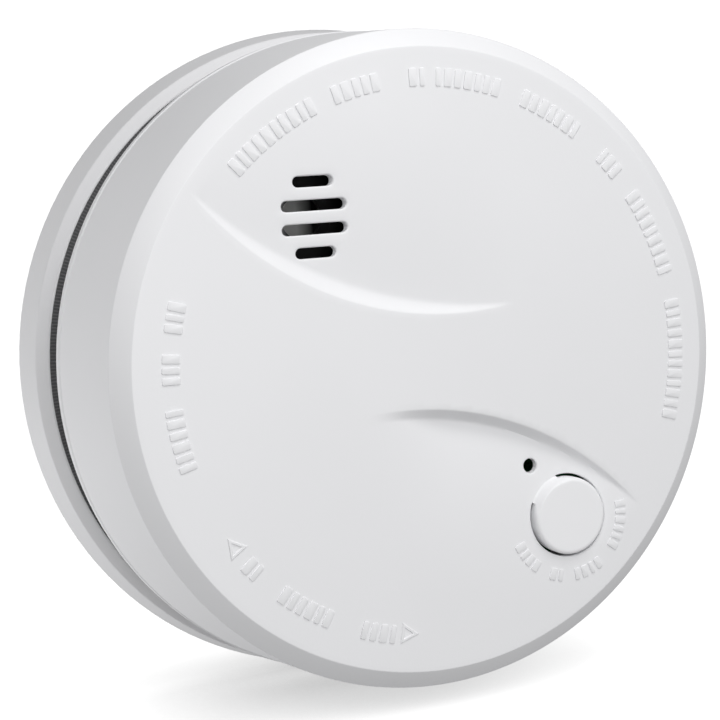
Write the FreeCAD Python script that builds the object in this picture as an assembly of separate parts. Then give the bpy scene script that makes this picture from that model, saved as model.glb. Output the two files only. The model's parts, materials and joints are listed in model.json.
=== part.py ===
"""Battery smoke detector: a head that twists and lifts off its mounting base.

Modelled on the bench with X to the right of the face, Y up it, and Z out of the wall towards the
viewer. Export turns that bench frame into the row frame, where +Z is up and the face looks along -Y.
"""
import FreeCAD
import Part
import math
import os

V = FreeCAD.Vector
OUT = "parts"

# ---- driving dimensions, in millimetres and degrees -------------------------------------------
# mounting base
base_back_r = 53.5
base_ridge_r = 52.25
base_ridge_z = 6.4
base_lip_r = 50.6
base_lip_z = 7.8
base_inner_r = 50.2
base_floor = 2.2
base_opening_r = 45.5
screw_spacing = 72.0
screw_slot_r = 2.2
screw_slot_length = 8.0
screw_head_r = 4.2

# front cover
foot_z = 15.5
foot_r = 51.25
foot_band = 2.2
shoulder_z = 38.3
shoulder_r = 49.25
face_z = 40.4
face_r = 46.45
cover_wall = 1.8
cover_inner_z = face_z - cover_wall

# bayonet: lugs on the rear housing pass between the hooks and turn under them
lug_angles = (52.0, 142.0, 232.0, 322.0)
lug_half_angle = 6.0
lug_r = 49.7
lug_z = (3.0, 4.7)
twist_angle = 15.0
hook_inner_r = 47.7
hook_z = (5.0, 6.6)

# rear housing
housing_r = 47.2
housing_back_z = 2.6
plate = 1.6
rim_z = 7.4
rim_wall = 1.4
rib_start_r = 42.0
pocket_depth = 3.2
pocket_wall = 1.2
pocket_half_angle = 16.5
pocket_r = (29.4, 42.6)

# battery bay and the battery in it, a 9 V block lying on its wide side
battery_length = 46.4
battery_width = 26.5
battery_depth = 17.5
battery_x0 = -26.0
battery_y = -22.0
battery_z0 = 2.95
terminal_half_gap = 6.35
bay_x = (-26.7, 26.6)
bay_y = (-35.7, -8.3)
bay_top_z = 22.4
bay_wall = 1.2

# circuit board
board_z0 = 24.0
board_thickness = 1.6
board_z1 = board_z0 + board_thickness
board_r = 43.0
post_places = ((-34.0, 14.0), (36.5, -3.0), (-7.5, 39.0))

# perimeter insect screen behind the smoke gap
screen_r = 46.9
screen_wall = 0.5
screen_z = (7.9, 17.0)
screen_flange_r = 50.3
screen_flange_z = 8.25

# sounder
horn_x = -17.85
horn_y = 22.65
horn_r = 14.0
horn_top_z = 36.0
slot_width = 1.6
slot_pitch = 3.42
slot_shift = 0.4
slot_lengths = (6.25, 10.1, 10.1, 6.25)

# optical chamber on the back of the board
chamber_x = 10.0
chamber_y = 18.0
chamber_r = 21.2
chamber_back_z = 7.3

optic_z = 19.4
optic_reach = 13.2
optic_tail = 2.2
emitter_angle = 200.0
receiver_angle = 335.0
chamber_split_z = 16.6
lead_r = 0.3
lead_pitch = 1.27

# test button and indicator
button_x = 21.05
button_y = -25.87
button_hole_r = 6.4
button_r = 5.95
button_top_r = 5.45
button_rise = 0.8
hinge_direction = 129.35
hinge_half_angle = 26.85
hinge_web_z = face_z - 0.8
lamp_x = 15.45
lamp_y = -17.6
lamp_hole_r = 1.1

# the two shallow lobes in the face, mirror images through its centre
lobe_arc_x = 5.9
lobe_arc_y = 58.93
lobe_arc_r = 52.1
lobe_tip_a = (-35.5, 27.3)
lobe_tip_b = (12.8, 7.5)
lobe_depth = 1.6

# battery-missing flap
flap_length = 27.0
flap_pin_x = -24.0
flap_z = 21.45
flap_y = (-28.0, -16.0)
flap_pin_r = 0.5


# ---- small helpers ------------------------------------------------------------------------------
def cylinder(x, y, r, z0, z1):
    """A solid cylinder along Z."""
    return Part.makeCylinder(r, z1 - z0, V(x, y, z0))


def tube(r_out, r_in, z0, z1, x=0.0, y=0.0):
    """A ring with a square section."""
    return cylinder(x, y, r_out, z0, z1).cut(cylinder(x, y, r_in, z0 - 1, z1 + 1))


def block(x0, x1, y0, y1, z0, z1):
    """A box between two corners."""
    return Part.makeBox(x1 - x0, y1 - y0, z1 - z0, V(x0, y0, z0))


def spun(profile, x=0.0, y=0.0):
    """The solid of revolution of a closed (radius, height) outline about the vertical at x, y."""
    points = [V(r, 0, z) for r, z in profile]
    face = Part.Face(Part.makePolygon(points + [points[0]]))
    solid = face.revolve(V(0, 0, 0), V(0, 0, 1), 360)
    solid.translate(V(x, y, 0))
    return solid


def softened(solid, rims, radius):
    """The solid with its round edges at each (radius, height) in rims rounded over."""
    edges = []
    for edge in solid.Edges:
        if not isinstance(edge.Curve, Part.Circle):
            continue
        for r, z in rims:
            if abs(edge.Curve.Radius - r) < 0.01 and abs(edge.Curve.Center.z - z) < 0.01:
                edges.append(edge)
    return solid.makeFillet(radius, edges)


def sector(r_out, r_in, z0, z1, middle, half):
    """A piece of a ring, centred on the angle middle."""
    start = middle - half
    wedge = Part.makeCylinder(r_out, z1 - z0, V(0, 0, z0), V(0, 0, 1), 2 * half)
    wedge.rotate(V(0, 0, 0), V(0, 0, 1), start)
    return wedge.cut(cylinder(0, 0, r_in, z0 - 1, z1 + 1))


def rounded_slot(x, y, length, width, z0, z1):
    """A slot-shaped solid along X."""
    half = (length - width) / 2
    r = width / 2
    body = block(x - half, x + half, y - r, y + r, z0, z1)
    ends = [cylinder(x - half, y, r, z0, z1), cylinder(x + half, y, r, z0, z1)]
    return body.fuse(ends).removeSplitter()


def polar(r, angle):
    """The point at radius r and angle, in degrees."""
    return (r * math.cos(math.radians(angle)), r * math.sin(math.radians(angle)))


def turned(shape, angle, x=0.0, y=0.0):
    """A copy turned about the vertical at x, y."""
    copy = shape.copy()
    copy.rotate(V(x, y, 0), V(0, 0, 1), angle)
    return copy


def strip(path, thickness, y0, y1):
    """Sheet bent along a path of (x, z) points with sharp corners, as wide as y0 to y1."""
    left = offset_path(path, thickness / 2)
    right = offset_path(path, -thickness / 2)
    outline = [V(x, y0, z) for x, z in left + right[::-1]]
    face = Part.Face(Part.makePolygon(outline + [outline[0]]))
    return face.extrude(V(0, y1 - y0, 0))


def offset_path(path, d):
    """The path moved sideways by d, with mitred corners."""
    moved = []
    for i, (x, z) in enumerate(path):
        before = path[i - 1] if i > 0 else None
        after = path[i + 1] if i < len(path) - 1 else None
        normals = []
        for a, b in ((before, (x, z)), ((x, z), after)):
            if a is None or b is None:
                continue
            run = math.hypot(b[0] - a[0], b[1] - a[1])
            normals.append(((a[1] - b[1]) / run, (b[0] - a[0]) / run))
        nx = sum(n[0] for n in normals) / len(normals)
        nz = sum(n[1] for n in normals) / len(normals)
        size = nx * nx + nz * nz
        moved.append((x + d * nx / size, z + d * nz / size))
    return moved


def wire_rod(points, r):
    """A round wire through straight runs, with a ball at each corner."""
    pieces = []
    for a, b in zip(points, points[1:]):
        run = b.sub(a)
        pieces.append(Part.makeCylinder(r, run.Length, a, run))
    for p in points[1:-1]:
        pieces.append(Part.makeSphere(r, p))
    return pieces[0].fuse(pieces[1:])


def group(shapes):
    """Separate solids kept in one node."""
    return Part.makeCompound(shapes)


def export(name, shape):
    """Turns the bench frame into the row frame and writes one STEP."""
    copy = shape.copy()
    copy.rotate(V(0, 0, 0), V(1, 0, 0), 90)
    if not copy.isValid():
        print("INVALID", name)
    copy.exportStep(os.path.join(OUT, name + ".step"))
    print(f"{name}: {len(copy.Solids)} solids, {copy.Volume:.1f} mm3")


# ---- mounting base ------------------------------------------------------------------------------
def mounting_base():
    """A shallow open ring with bayonet hooks and two ears with screw slots."""
    profile = [
        (base_opening_r, 0), (base_back_r, 0), (base_ridge_r, base_ridge_z),
        (base_lip_r, base_lip_z), (base_inner_r, base_lip_z), (base_inner_r, base_floor),
        (base_opening_r, base_floor),
    ]
    body = softened(spun(profile), [(base_ridge_r, base_ridge_z), (base_back_r, 0)], 0.4)
    for side in (-1, 1):
        body = body.fuse(base_ear(side))
    for angle in lug_angles:
        body = body.fuse(base_hook(angle - twist_angle))
    for side in (-1, 1):
        body = body.cut(screw_slot(side))
    return body.removeSplitter()


def base_ear(side):
    """One ear that reaches in from the ring to carry a screw slot."""
    reach = screw_spacing / 2 - screw_slot_length / 2 - 1.5
    half = 7.5
    ear = block(reach + half, base_inner_r - 2, -half, half, 0, base_floor)
    ear = ear.fuse(cylinder(reach + half, 0, half, 0, base_floor))
    root = block(base_opening_r - 4, base_inner_r - 2, -half - 4, half + 4, 0, base_floor)
    for y in (-half - 4, half + 4):
        root = root.cut(cylinder(base_opening_r - 4.2, y, 4, -1, base_floor + 1))
    ear = ear.fuse(root)
    return ear if side > 0 else turned(ear, 180)


def screw_slot(side):
    """The slot through one ear, with a shallow recess for the screw's head."""
    x = side * screw_spacing / 2
    slot = rounded_slot(x, 0, screw_slot_length, 2 * screw_slot_r, -1, base_floor + 1)
    head_length = screw_slot_length + 2 * (screw_head_r - screw_slot_r)
    recess = rounded_slot(x, 0, head_length, 2 * screw_head_r, base_floor - 0.6, base_floor + 1)
    return slot.fuse(recess)


def base_hook(middle):
    """A ledge that holds a lug, its end stop and the web that joins them."""
    half = 8.5
    wall = base_inner_r + 0.4
    ledge = sector(wall, hook_inner_r, hook_z[0], hook_z[1], middle - 0.5, half)
    stop = sector(wall, hook_inner_r, base_floor - 0.2, hook_z[1], middle - half + 0.5, 1.0)
    return ledge.fuse(stop)


# ---- rear housing -------------------------------------------------------------------------------
def rear_housing():
    """The moulding behind the board: plate, rim, battery bay, posts and bayonet lugs."""
    body = cylinder(0, 0, housing_r, housing_back_z, housing_back_z + plate)
    body = body.fuse(tube(housing_r, housing_r - rim_wall, housing_back_z, rim_z))
    bay = block(bay_x[0] - bay_wall, bay_x[1] + bay_wall, bay_y[0] - bay_wall,
                bay_y[1] + bay_wall, housing_back_z, board_z0)
    body = body.fuse(bay.common(cylinder(0, 0, housing_r - 1.3, 0, board_z0)))
    for x, y in post_places:
        body = body.fuse(cylinder(x, y, 2.6, housing_back_z, board_z0))
    body = body.fuse(housing_ribs())
    for angle in lug_angles:
        lug = sector(lug_r, housing_r - 0.6, lug_z[0], lug_z[1], angle, lug_half_angle)
        body = body.fuse(lug)
    for side in (0.0, 180.0):
        body = body.fuse(screw_pocket(side, pocket_wall))
    for side in (0.0, 180.0):
        body = body.cut(screw_pocket(side, 0.0))
    body = body.cut(block(bay_x[0], bay_x[1], bay_y[0], bay_y[1], 0, bay_top_z))
    for x, y in post_places:
        body = body.cut(cylinder(x, y, 1.05, board_z0 - 9, board_z0 + 1))
    for angle in leg_angles:
        window = sector(housing_r + 1, housing_r - 3, rim_z - 3.1, rim_z - 0.8, angle, 5.2)
        body = body.cut(window)
    for x0, x1, y0, y1 in contact_windows():
        body = body.cut(block(x0, x1, y0, y1, bay_top_z - 1, board_z0 + 1))
    for y in (flap_y[0] - 1.4, flap_y[1] + 0.4):
        body = body.fuse(flap_ear(y))
    return body.removeSplitter()


def screw_pocket(side, wall):
    """The arc that a mounting screw's head sweeps as the head twists, grown by a wall."""
    grow = math.degrees(wall / pocket_r[0])
    top = housing_back_z + pocket_depth
    bottom = housing_back_z if wall else housing_back_z - 1
    return sector(pocket_r[1] + wall, pocket_r[0] - wall, bottom, top + wall,
                  side + twist_angle / 2, pocket_half_angle + grow)


def housing_ribs():
    """Stiffening ribs on the plate, between the bay and the rim."""
    ribs = []
    for angle in (35, 65, 115, 150, 215, 325):
        rib = block(rib_start_r, housing_r - 0.8, -0.6, 0.6, housing_back_z, rim_z - 1.4)
        ribs.append(turned(rib, angle))
    rib = block(-20, 20, bay_y[0] - 6.2, bay_y[0] - 5.2, housing_back_z, rim_z - 1.4)
    ribs.append(rib.common(cylinder(0, 0, housing_r - 0.8, 0, rim_z)))
    return ribs


def contact_windows():
    """Where the contact strips pass from the bay up to the board."""
    return [(24.6, 26.6, y - 3.4, y + 3.4) for y in contact_places()]


def contact_places():
    """The two terminals' places across the battery."""
    return (battery_y - terminal_half_gap, battery_y + terminal_half_gap)


def flap_ear(y):
    """One ear on the bay's front wall that holds an end of the flap's pin."""
    ear = block(flap_pin_x - 1.0, flap_pin_x + 1.0, y, y + 1.0, flap_z - 0.9, bay_top_z)
    return ear.cut(flap_pin_hole(flap_pin_r, y - 1, y + 2))


def flap_pin_hole(r, y0, y1):
    """A cylinder along Y on the flap's axis."""
    return Part.makeCylinder(r, y1 - y0, V(flap_pin_x, y0, flap_z), V(0, 1, 0))


# ---- front cover --------------------------------------------------------------------------------
leg_angles = (5.0, 95.0, 185.0, 275.0)
rib_angles = tuple(30.0 * i + 20.0 for i in range(12))


def front_cover():
    """The shell: tapered wall, chamfered face, lobes, sound slots, lamp hole and button hole."""
    band_top = foot_z + foot_band
    inner_shoulder = shoulder_r - cover_wall
    profile = [
        (0, face_z), (face_r, face_z), (shoulder_r, shoulder_z), (foot_r - 0.25, band_top + 0.2),
        (foot_r, band_top), (foot_r, foot_z + 0.4), (foot_r - 0.2, foot_z),
        (foot_r - cover_wall, foot_z), (inner_shoulder, shoulder_z - 1.0),
        (inner_shoulder - 1.6, cover_inner_z), (0, cover_inner_z),
    ]
    body = softened(spun(profile), [(face_r, face_z), (shoulder_r, shoulder_z)], 0.5)
    inside = [lobe_pad(1), lobe_pad(-1), horn_collar()] + cover_ribs()
    for angle in leg_angles:
        inside.append(cover_leg(angle))
    body = body.fuse(inside)
    for side in (1, -1):
        body = body.cut(lobe_pocket(side))
    for x, y, length in sound_slots():
        body = body.cut(rounded_slot(x, y, length, slot_width, cover_inner_z - 3, face_z + 1))
    body = body.cut(cylinder(lamp_x, lamp_y, lamp_hole_r, cover_inner_z - 3, face_z + 1))
    body = body.cut(button_opening())
    return body.removeSplitter()


def cover_ribs():
    """Ribs inside the wall, whose feet hold the perimeter screen down."""
    ribs = []
    for angle in rib_angles:
        rib = block(screen_r - 1.6, shoulder_r + 0.6, -0.6, 0.6, screen_z[1] + 0.35, cover_inner_z + 0.5)
        ribs.append(turned(rib, angle))
    inside = cylinder(0, 0, shoulder_r + 5, foot_z, shoulder_z - 4)
    taper = spun([(0, foot_z), (foot_r - 0.8, foot_z), (shoulder_r - 0.8, shoulder_z - 1),
                  (0, shoulder_z - 1)])
    return [r.common(inside).common(taper) for r in ribs]


def cover_leg(angle):
    """A snap leg that reaches down to a window in the rear housing's rim."""
    outer = housing_r - rim_wall - 0.3
    leg = sector(outer, outer - 1.6, rim_z - 2.9, shoulder_z - 4, angle, 4.0)
    hook = sector(outer + 1.2, outer - 0.1, rim_z - 2.9, rim_z - 1.2, angle, 4.0)
    root = sector(shoulder_r + 0.3, outer - 0.1, 24.0, shoulder_z - 4, angle, 4.0)
    taper = spun([(0, foot_z), (foot_r - 0.8, foot_z), (shoulder_r - 0.8, shoulder_z - 1),
                  (0, shoulder_z - 1)])
    return leg.fuse([hook, root.common(taper)])


def horn_collar():
    """A short skirt round the sounder."""
    return tube(horn_r + 1.7, horn_r + 0.5, horn_top_z - 3, cover_inner_z + 0.3, horn_x, horn_y)


def sound_slots():
    """Centre and length of each slot over the sounder."""
    middle = (len(slot_lengths) - 1) / 2
    return [(horn_x + slot_shift, horn_y + (middle - i) * slot_pitch, length)
            for i, length in enumerate(slot_lengths)]


def lobe_frame(side):
    """Tips, arc centre and chord direction of a lobe; side -1 is the lobe mirrored in the centre."""
    a = V(side * lobe_tip_a[0], side * lobe_tip_a[1], 0)
    b = V(side * lobe_tip_b[0], side * lobe_tip_b[1], 0)
    along = b.sub(a).normalize()
    towards = V(along.y, -along.x, 0)
    if towards.dot(V(side * lobe_arc_x, side * lobe_arc_y, 0).sub(a)) > 0:
        towards = towards.negative()
    return a, b, along, towards


def lobe_pocket(side):
    """What a lobe takes out of the face: above a plane tilted about its chord, inside a 45 degree cone."""
    a, b, along, towards = lobe_frame(side)
    centre = V(side * lobe_arc_x, side * lobe_arc_y, 0)
    over = 3.0
    cone = Part.makeCone(lobe_arc_r - 4.0, lobe_arc_r + over, 4.0 + over,
                         V(centre.x, centre.y, face_z - 4.0))
    middle = a.add(b).multiply(0.5)
    sagitta = lobe_arc_r - math.sqrt(lobe_arc_r ** 2 - (b.sub(a).Length / 2) ** 2)
    tilt = math.degrees(math.atan2(lobe_depth, sagitta - lobe_depth))
    slab = Part.makeBox(90, 30, 6)
    slab.translate(V(-45, 0, 0))
    slab.rotate(V(0, 0, 0), V(1, 0, 0), -tilt)
    # the slab's Y runs from the chord towards the arc, and its X along the chord
    turn = math.degrees(math.atan2(towards.y, towards.x)) - 90
    slab.rotate(V(0, 0, 0), V(0, 0, 1), turn)
    slab.translate(V(middle.x, middle.y, face_z))
    return cone.common(slab)


def lobe_pad(side):
    """Extra thickness inside the face, under a lobe."""
    a, b, along, towards = lobe_frame(side)
    middle = a.add(b).multiply(0.5)
    pad = Part.makeCylinder(lobe_arc_r + 1.2, lobe_depth + 0.4,
                            V(side * lobe_arc_x, side * lobe_arc_y, cover_inner_z - lobe_depth))
    slab = Part.makeBox(90, 30, lobe_depth + 0.4)
    slab.translate(V(-45, 0, 0))
    turn = math.degrees(math.atan2(towards.y, towards.x)) - 90
    slab.rotate(V(0, 0, 0), V(0, 0, 1), turn)
    slab.translate(V(middle.x, middle.y, cover_inner_z - lobe_depth))
    rim = cylinder(0, 0, shoulder_r - cover_wall - 2.0, 0, face_z)
    return pad.common(slab).common(rim)


def hinge_half_plane(distance, z0, z1):
    """Everything from the button's hinge line outwards, past a distance from the button's centre."""
    slab = block(distance, distance + 20, -20, 20, z0, z1)
    slab.rotate(V(0, 0, 0), V(0, 0, 1), hinge_direction)
    slab.translate(V(button_x, button_y, 0))
    return slab


def hinge_distance():
    """From the button's centre to its hinge line."""
    return button_hole_r * math.cos(math.radians(hinge_half_angle))


def button_opening():
    """The D-shaped hole round the button."""
    hole = cylinder(button_x, button_y, button_hole_r, cover_inner_z - 3, face_z + 1)
    return hole.cut(hinge_half_plane(hinge_distance(), cover_inner_z - 4, face_z + 2))


def test_button():
    """The button: a raised disc on a thin web, with a post that reaches down to the switch."""
    top = face_z + button_rise
    edge = 0.35
    profile = [
        (0, cover_inner_z + 0.2), (button_r, cover_inner_z + 0.2), (button_r, face_z),
        (button_top_r + 0.1, top - edge), (button_top_r - edge, top), (0, top),
    ]
    disc = spun(profile, button_x, button_y)
    reach = hinge_distance()
    disc = disc.cut(hinge_half_plane(reach, 0, 60))
    disc = disc.cut(hinge_half_plane(reach - 0.9, 0, hinge_web_z))
    ramp = block(0, 20, -20, 20, 0, 10)
    ramp.rotate(V(0, 0, 0), V(0, 1, 0), 45)
    ramp.translate(V(reach - button_rise, 0, top))
    ramp.rotate(V(0, 0, 0), V(0, 0, 1), hinge_direction)
    ramp.translate(V(button_x, button_y, 0))
    disc = disc.cut(ramp)
    hollow = cylinder(button_x, button_y, button_r - 1.6, 0, top - 1.4)
    disc = disc.cut(hollow.cut(hinge_half_plane(reach - 2.2, 0, 60)))
    post = cylinder(button_x, button_y, 1.5, switch_top_z + 0.15, top - 1.0)
    fins = [block(button_x - 4.6, button_x + 4.6, button_y - 0.4, button_y + 0.4, 36.5, top - 1.0),
            block(button_x - 0.4, button_x + 0.4, button_y - 4.6, button_y + 3.0, 36.5, top - 1.0)]
    return disc.fuse([post] + fins).removeSplitter()


# ---- perimeter screen ---------------------------------------------------------------------------
def perimeter_screen():
    """The dark ring of insect screen behind the smoke gap, with a flange over the base's dish."""
    wall = tube(screen_r, screen_r - screen_wall, screen_z[0], screen_z[1])
    flange = tube(screen_flange_r, screen_r - screen_wall, screen_z[0], screen_flange_z)
    return wall.fuse(flange).removeSplitter()


# ---- circuit board and what stands on it --------------------------------------------------------
def circuit_board():
    """The round board, with holes for its screws and notches for the cover's legs."""
    board = cylinder(0, 0, board_r, board_z0, board_z1)
    for x, y in post_places:
        board = board.cut(cylinder(x, y, 1.5, board_z0 - 1, board_z1 + 1))
    for angle in (50.0, 230.0):
        x, y = polar(board_r, angle)
        board = board.cut(cylinder(x, y, 2.0, board_z0 - 1, board_z1 + 1))
    for x0, x1, y0, y1 in contact_windows():
        slot = block(x0 + 0.5, x1 + 0.1, y0 + 0.2, y1 - 0.2, board_z0 - 1, board_z1 + 1)
        board = board.cut(slot)
    for x, y in lead_holes():
        board = board.cut(cylinder(x, y, lead_r + 0.1, board_z0 - 1, board_z1 + 1))
    return board


def lead_holes():
    """Where the optics' and the indicator's leads pass through the board."""
    holes = [(lamp_x + side * lead_pitch, lamp_y) for side in (-1, 1)]
    for angle in (emitter_angle, receiver_angle):
        for side in (-1, 1):
            tip = V(optic_reach + optic_tail, side * lead_pitch, 0)
            x, y = polar(tip.x, angle)
            dx, dy = polar(tip.y, angle + 90)
            holes.append((chamber_x + x + dx, chamber_y + y + dy))
    return holes


def board_screws():
    """Three self-tapping pan-head screws."""
    screws = []
    for x, y in post_places:
        profile = [
            (0, board_z0 - 6.4), (0.4, board_z0 - 6.0), (1.0, board_z0 - 5.2), (1.0, board_z1),
            (2.5, board_z1), (2.5, board_z1 + 0.8), (1.9, board_z1 + 1.6), (0, board_z1 + 1.7),
        ]
        screw = spun(profile, x, y)
        screw = screw.cut(block(x - 1.4, x + 1.4, y - 0.25, y + 0.25, board_z1 + 0.9, board_z1 + 3))
        screw = screw.cut(block(x - 0.25, x + 0.25, y - 1.4, y + 1.4, board_z1 + 0.9, board_z1 + 3))
        screws.append(screw)
    return group(screws)


def chamber_block():
    """The optical block under the board, with a bore for the emitter and one for the receiver."""
    body = spun([(0, chamber_split_z), (17.5, chamber_split_z), (17.5, 18.0), (20.6, 18.0),
                 (20.6, board_z0), (0, board_z0)], chamber_x, chamber_y)
    body = body.cut(cylinder(chamber_x, chamber_y, 9.0, 0, chamber_split_z + 4.0))
    for angle in (emitter_angle, receiver_angle):
        body = body.cut(optic_bore(angle, 2.75, 17.0))
        x, y = polar(15.0, angle)
        slot = block(chamber_x + x - 2.9, chamber_x + x + 2.9, chamber_y + y - 2.9,
                     chamber_y + y + 2.9, optic_z - 0.1, board_z0 + 1)
        body = body.cut(slot)
    return body


def optic_bore(angle, r, reach):
    """A cylinder from the chamber's middle outwards at the optics' height."""
    x, y = polar(1.0, angle)
    return Part.makeCylinder(r, reach, V(chamber_x, chamber_y, optic_z), V(x, y, 0))


def chamber_labyrinth():
    """The black cap whose bent vanes keep light out and let smoke in."""
    cap = spun([(0, chamber_back_z), (19.4, chamber_back_z), (20.6, chamber_back_z + 0.8),
                (20.6, chamber_back_z + 1.6), (0, chamber_back_z + 1.6)], chamber_x, chamber_y)
    count = 20
    for i in range(count):
        cap = cap.fuse(turned(labyrinth_vane(), 360.0 * i / count, chamber_x, chamber_y))
    return cap


def labyrinth_vane():
    """One vane, bent in plan like an elbow."""
    z0 = chamber_back_z + 1.5
    first = block(14.6, 17.4, -0.4, 0.4, z0, chamber_split_z)
    first.rotate(V(17.4, 0, 0), V(0, 0, 1), -28)
    second = block(17.2, 20.2, -0.4, 0.4, z0, chamber_split_z)
    second.rotate(V(17.4, 0, 0), V(0, 0, 1), 38)
    vane = first.fuse(second)
    vane.translate(V(chamber_x, chamber_y, 0))
    return vane


def chamber_screen():
    """The fine mesh sleeve round the chamber."""
    return tube(chamber_r, chamber_r - 0.3, chamber_back_z + 0.4, 18.4, chamber_x, chamber_y)


def optic_lamp(angle, reach):
    """A 5 mm round-nosed optic lying on its side, with its leads turned up through the board."""
    flange = Part.makeCylinder(2.7, 0.9, V(reach, 0, 0), V(1, 0, 0))
    barrel = Part.makeCylinder(2.45, 4.6, V(reach - 4.6, 0, 0), V(1, 0, 0))
    nose = Part.makeSphere(2.45, V(reach - 4.6, 0, 0))
    leads = []
    for y in (-lead_pitch, lead_pitch):
        bend = V(reach + optic_tail, y, 0)
        end = V(reach + optic_tail, y, board_z1 - optic_z + 0.8)
        leads.append(wire_rod([V(reach + 0.8, y, 0), bend, end], lead_r))
    lamp = flange.fuse([barrel, nose] + leads)
    lamp.translate(V(chamber_x, chamber_y, optic_z))
    return turned(lamp, angle, chamber_x, chamber_y)


def photodiode_shield():
    """A thin steel can over the receiver, on the front of the board."""
    x, y = polar(14.0, receiver_angle)
    x, y = chamber_x + x, chamber_y + y
    can = block(x - 5, x + 5, y - 4, y + 4, board_z1 + 1.0, board_z1 + 4.2)
    can = can.cut(block(x - 4.7, x + 4.7, y - 3.7, y + 3.7, board_z1 + 0.5, board_z1 + 3.9))
    legs = [block(x + sx * 4.85 - 0.15, x + sx * 4.85 + 0.15, y - 0.8, y + 0.8,
                  board_z1, board_z1 + 1.1) for sx in (-1, 1)]
    return can.fuse(legs)


def horn_housing():
    """The sounder's lower cup, with the ledge that its disc sits on."""
    disc_z = board_z1 + 4.6
    return spun([(11.2, board_z1), (horn_r, board_z1), (horn_r, 33.0), (12.7, 33.0),
                 (12.7, disc_z), (11.2, disc_z)], horn_x, horn_y)


def horn_cap():
    """The sounder's lid, with its sound hole."""
    disc_top = board_z1 + 4.6 + 0.3
    return spun([(3.2, 34.4), (11.4, 34.4), (11.4, disc_top + 0.05), (12.6, disc_top + 0.05),
                 (12.6, 33.0), (horn_r, 33.0), (horn_r, 35.2), (horn_r - 0.8, horn_top_z),
                 (4.4, horn_top_z), (3.2, 35.4)], horn_x, horn_y)


def horn_disc():
    """The brass disc of the sounder."""
    z = board_z1 + 4.6
    return cylinder(horn_x, horn_y, 12.5, z, z + 0.3)


def horn_ceramic():
    """The silvered ceramic on the back of the brass disc."""
    z = board_z1 + 4.6
    return cylinder(horn_x, horn_y, 8.6, z - 0.3, z)


def horn_contacts():
    """Three sprung pins from the board to the sounder's disc."""
    z = board_z1 + 4.6
    pins = []
    for angle, r, top in ((30, 10.0, z), (150, 6.4, z - 0.3), (270, 6.4, z - 0.3)):
        x, y = polar(r, angle)
        points = [V(horn_x + x, horn_y + y, board_z1), V(horn_x + x, horn_y + y, board_z1 + 1.4),
                  V(horn_x + x + 0.9, horn_y + y, board_z1 + 2.3),
                  V(horn_x + x, horn_y + y, board_z1 + 3.2), V(horn_x + x, horn_y + y, top)]
        pins.append(wire_rod(points, 0.3))
    return group(pins)


def horn_gasket():
    """The foam ring between the sounder and the cover."""
    return tube(13.2, 9.6, horn_top_z, horn_top_z + 0.9, horn_x, horn_y)


chip_x = 6.0
chip_y = 6.0


def detector_chip():
    """The detector's sixteen-pin chip, with the notch at its first pin."""
    body = block(chip_x - 9.8, chip_x + 9.8, chip_y - 3.2, chip_y + 3.2, board_z1 + 0.5, board_z1 + 3.8)
    notch = cylinder(chip_x - 9.8, chip_y, 0.9, board_z1 + 3.3, board_z1 + 5)
    bevel = Part.makeBox(22, 2, 2, V(chip_x - 11, chip_y + 3.2, board_z1 + 2.4))
    bevel.rotate(V(chip_x, chip_y + 3.2, board_z1 + 2.4), V(1, 0, 0), 12)
    other = turned(bevel, 180, chip_x, chip_y)
    return body.cut(notch).cut(bevel).cut(other)


def chip_legs():
    """The chip's sixteen legs."""
    legs = []
    for i in range(8):
        x = chip_x - 8.89 + 2.54 * i
        for side in (-1, 1):
            y = chip_y + side * 3.8
            shank = block(x - 0.35, x + 0.35, y - 0.15, y + 0.15, board_z1, board_z1 + 2.1)
            inner = sorted((chip_y + side * 3.2, y + side * 0.15))
            arm = block(x - 0.7, x + 0.7, inner[0], inner[1], board_z1 + 1.8, board_z1 + 2.1)
            legs.append(shank.fuse(arm))
    return group(legs)


def can_capacitor(x, y, r, height):
    """A standing electrolytic: crimped can and its scored top."""
    z = board_z1
    top = z + height
    body = spun([(0, z + 0.3), (r - 0.5, z + 0.3), (r, z + 0.8), (r, z + 1.7), (r - 0.35, z + 2.1),
                 (r, z + 2.5), (r, top - 0.4), (r - 0.4, top), (r - 0.9, top),
                 (r - 1.0, top - 0.15), (0, top - 0.15)], x, y)
    for angle in (45, 135):
        score = block(-r * 0.6, r * 0.6, -0.12, 0.12, top - 0.4, top + 1)
        score.translate(V(x, y, 0))
        body = body.cut(turned(score, angle, x, y))
    legs = [cylinder(x + d, y, 0.3, z, z + 0.4) for d in (-r * 0.4, r * 0.4)]
    return body.fuse(legs)


coil_x = 33.0
coil_y = 14.0


def coil_core():
    """The ferrite bobbin of the sounder's step-up coil."""
    z = board_z1
    return spun([(0, z), (4.4, z), (4.4, z + 1.2), (2.0, z + 1.2), (2.0, z + 7.6), (4.4, z + 7.6),
                 (4.4, z + 8.8), (0.8, z + 8.8), (0.8, z + 7.8), (0, z + 7.8)], coil_x, coil_y)


def coil_winding():
    """The coil's wire, wound in ridges."""
    z = board_z1 + 1.2
    turns = 16
    pitch = 6.4 / turns
    outline = [(2.0, z)]
    for i in range(turns):
        outline += [(3.7, z + pitch * (i + 0.1)), (3.95, z + pitch * (i + 0.5)),
                    (3.7, z + pitch * (i + 0.9))]
    outline.append((2.0, z + 6.4))
    return spun(outline, coil_x, coil_y)


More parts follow.
